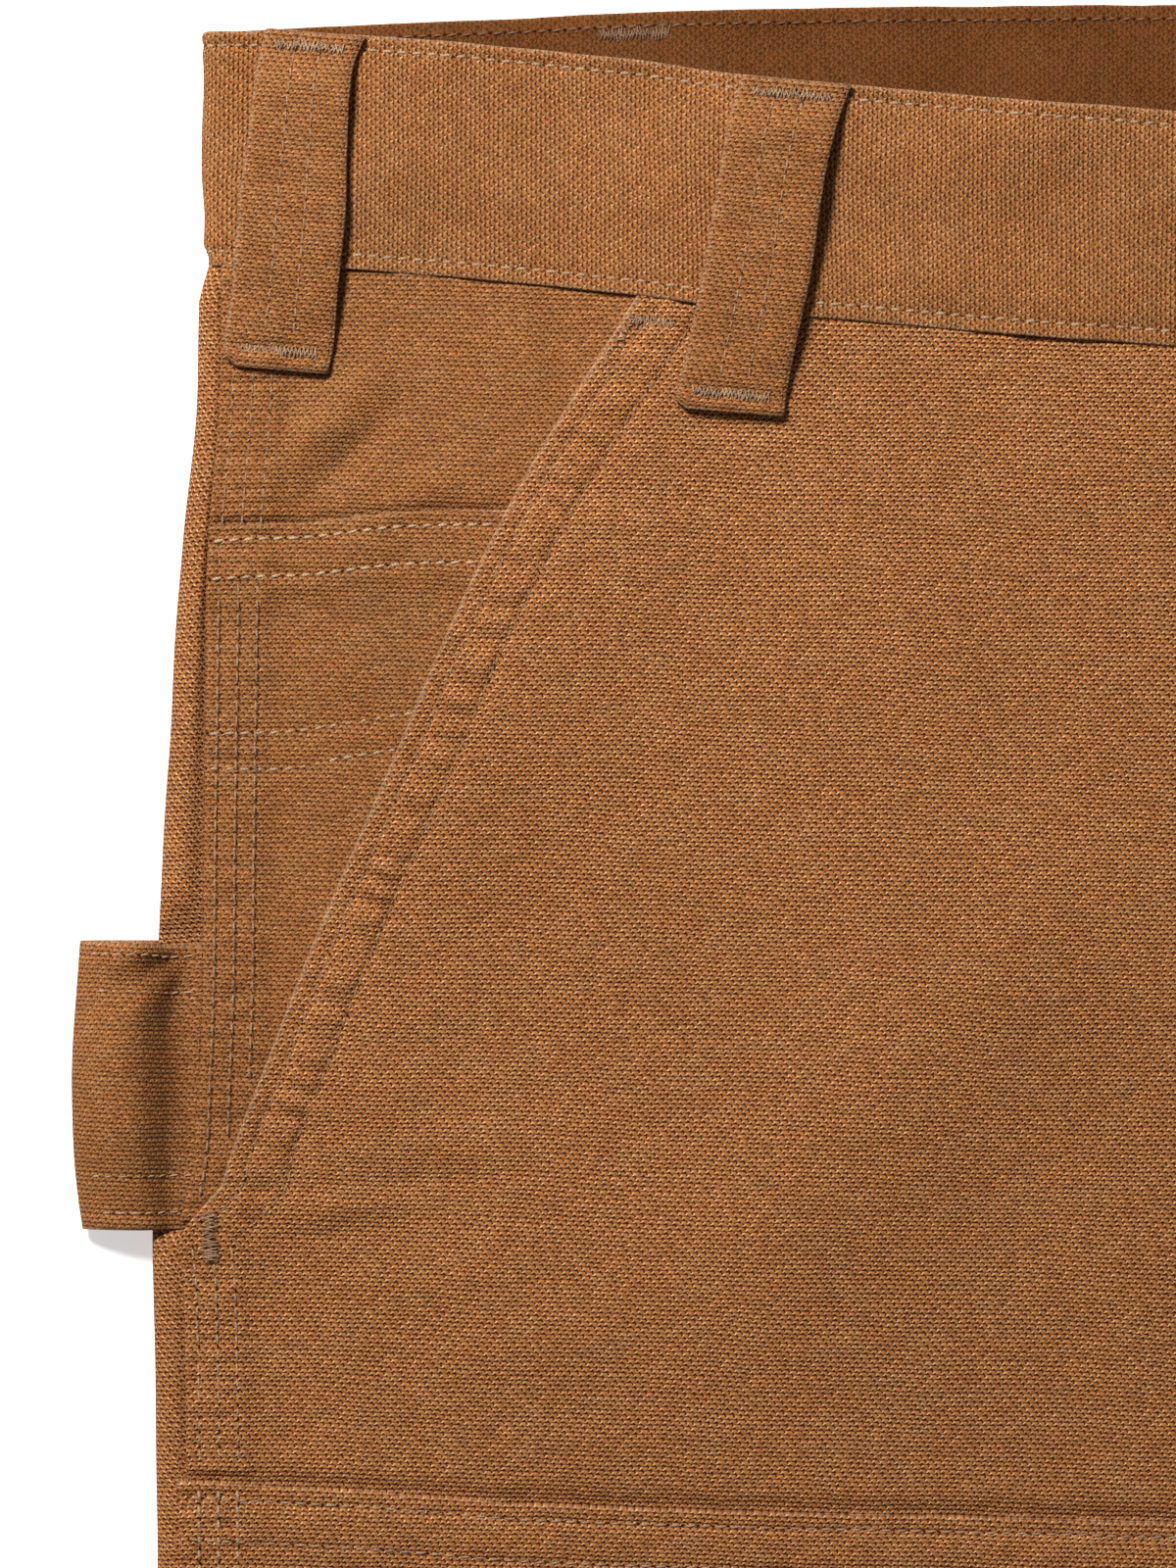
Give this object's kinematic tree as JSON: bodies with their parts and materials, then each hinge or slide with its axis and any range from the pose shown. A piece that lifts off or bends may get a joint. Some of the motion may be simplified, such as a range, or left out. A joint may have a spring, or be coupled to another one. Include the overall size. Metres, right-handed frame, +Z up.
{
  "type": "carpenter pants",
  "caption": "Carpenter pants in brown duck canvas laid flat, front up, with slant pockets, knee patches, belt loops and a hammer loop on the side.",
  "frame": {"origin": "on the surface the trousers lie on, under the centre of their box", "axes": "+Y from the hems to the waist, +Z up out of the surface, front of the trousers facing +Z, +X towards the wearer's left"},
  "size_m": [0.5, 1.0801, 0.0209],
  "materials": {
    "canvas": "matte plain-weave duck",
    "waistband_canvas": "matte plain-weave duck, worn paler along its edges",
    "button_metal": "dull antique"
  },
  "bodies": {
    "root": {"front_right": "canvas", "back_right": "canvas", "hip_facing_right": "canvas", "knee_patch_right": "canvas", "back_pocket_right": "canvas", "loop_front_right": "canvas", "loop_side_right": "canvas", "loop_back_right": "canvas", "front_left": "canvas", "back_left": "canvas", "hip_facing_left": "canvas", "knee_patch_left": "canvas", "back_pocket_left": "canvas", "loop_front_left": "canvas", "loop_side_left": "canvas", "loop_back_left": "canvas", "coin_pocket": "canvas", "waistband": "waistband_canvas", "loop_back_centre": "canvas", "hammer_loop": "canvas", "waist_button": "button_metal"}
  },
  "joints": []
}
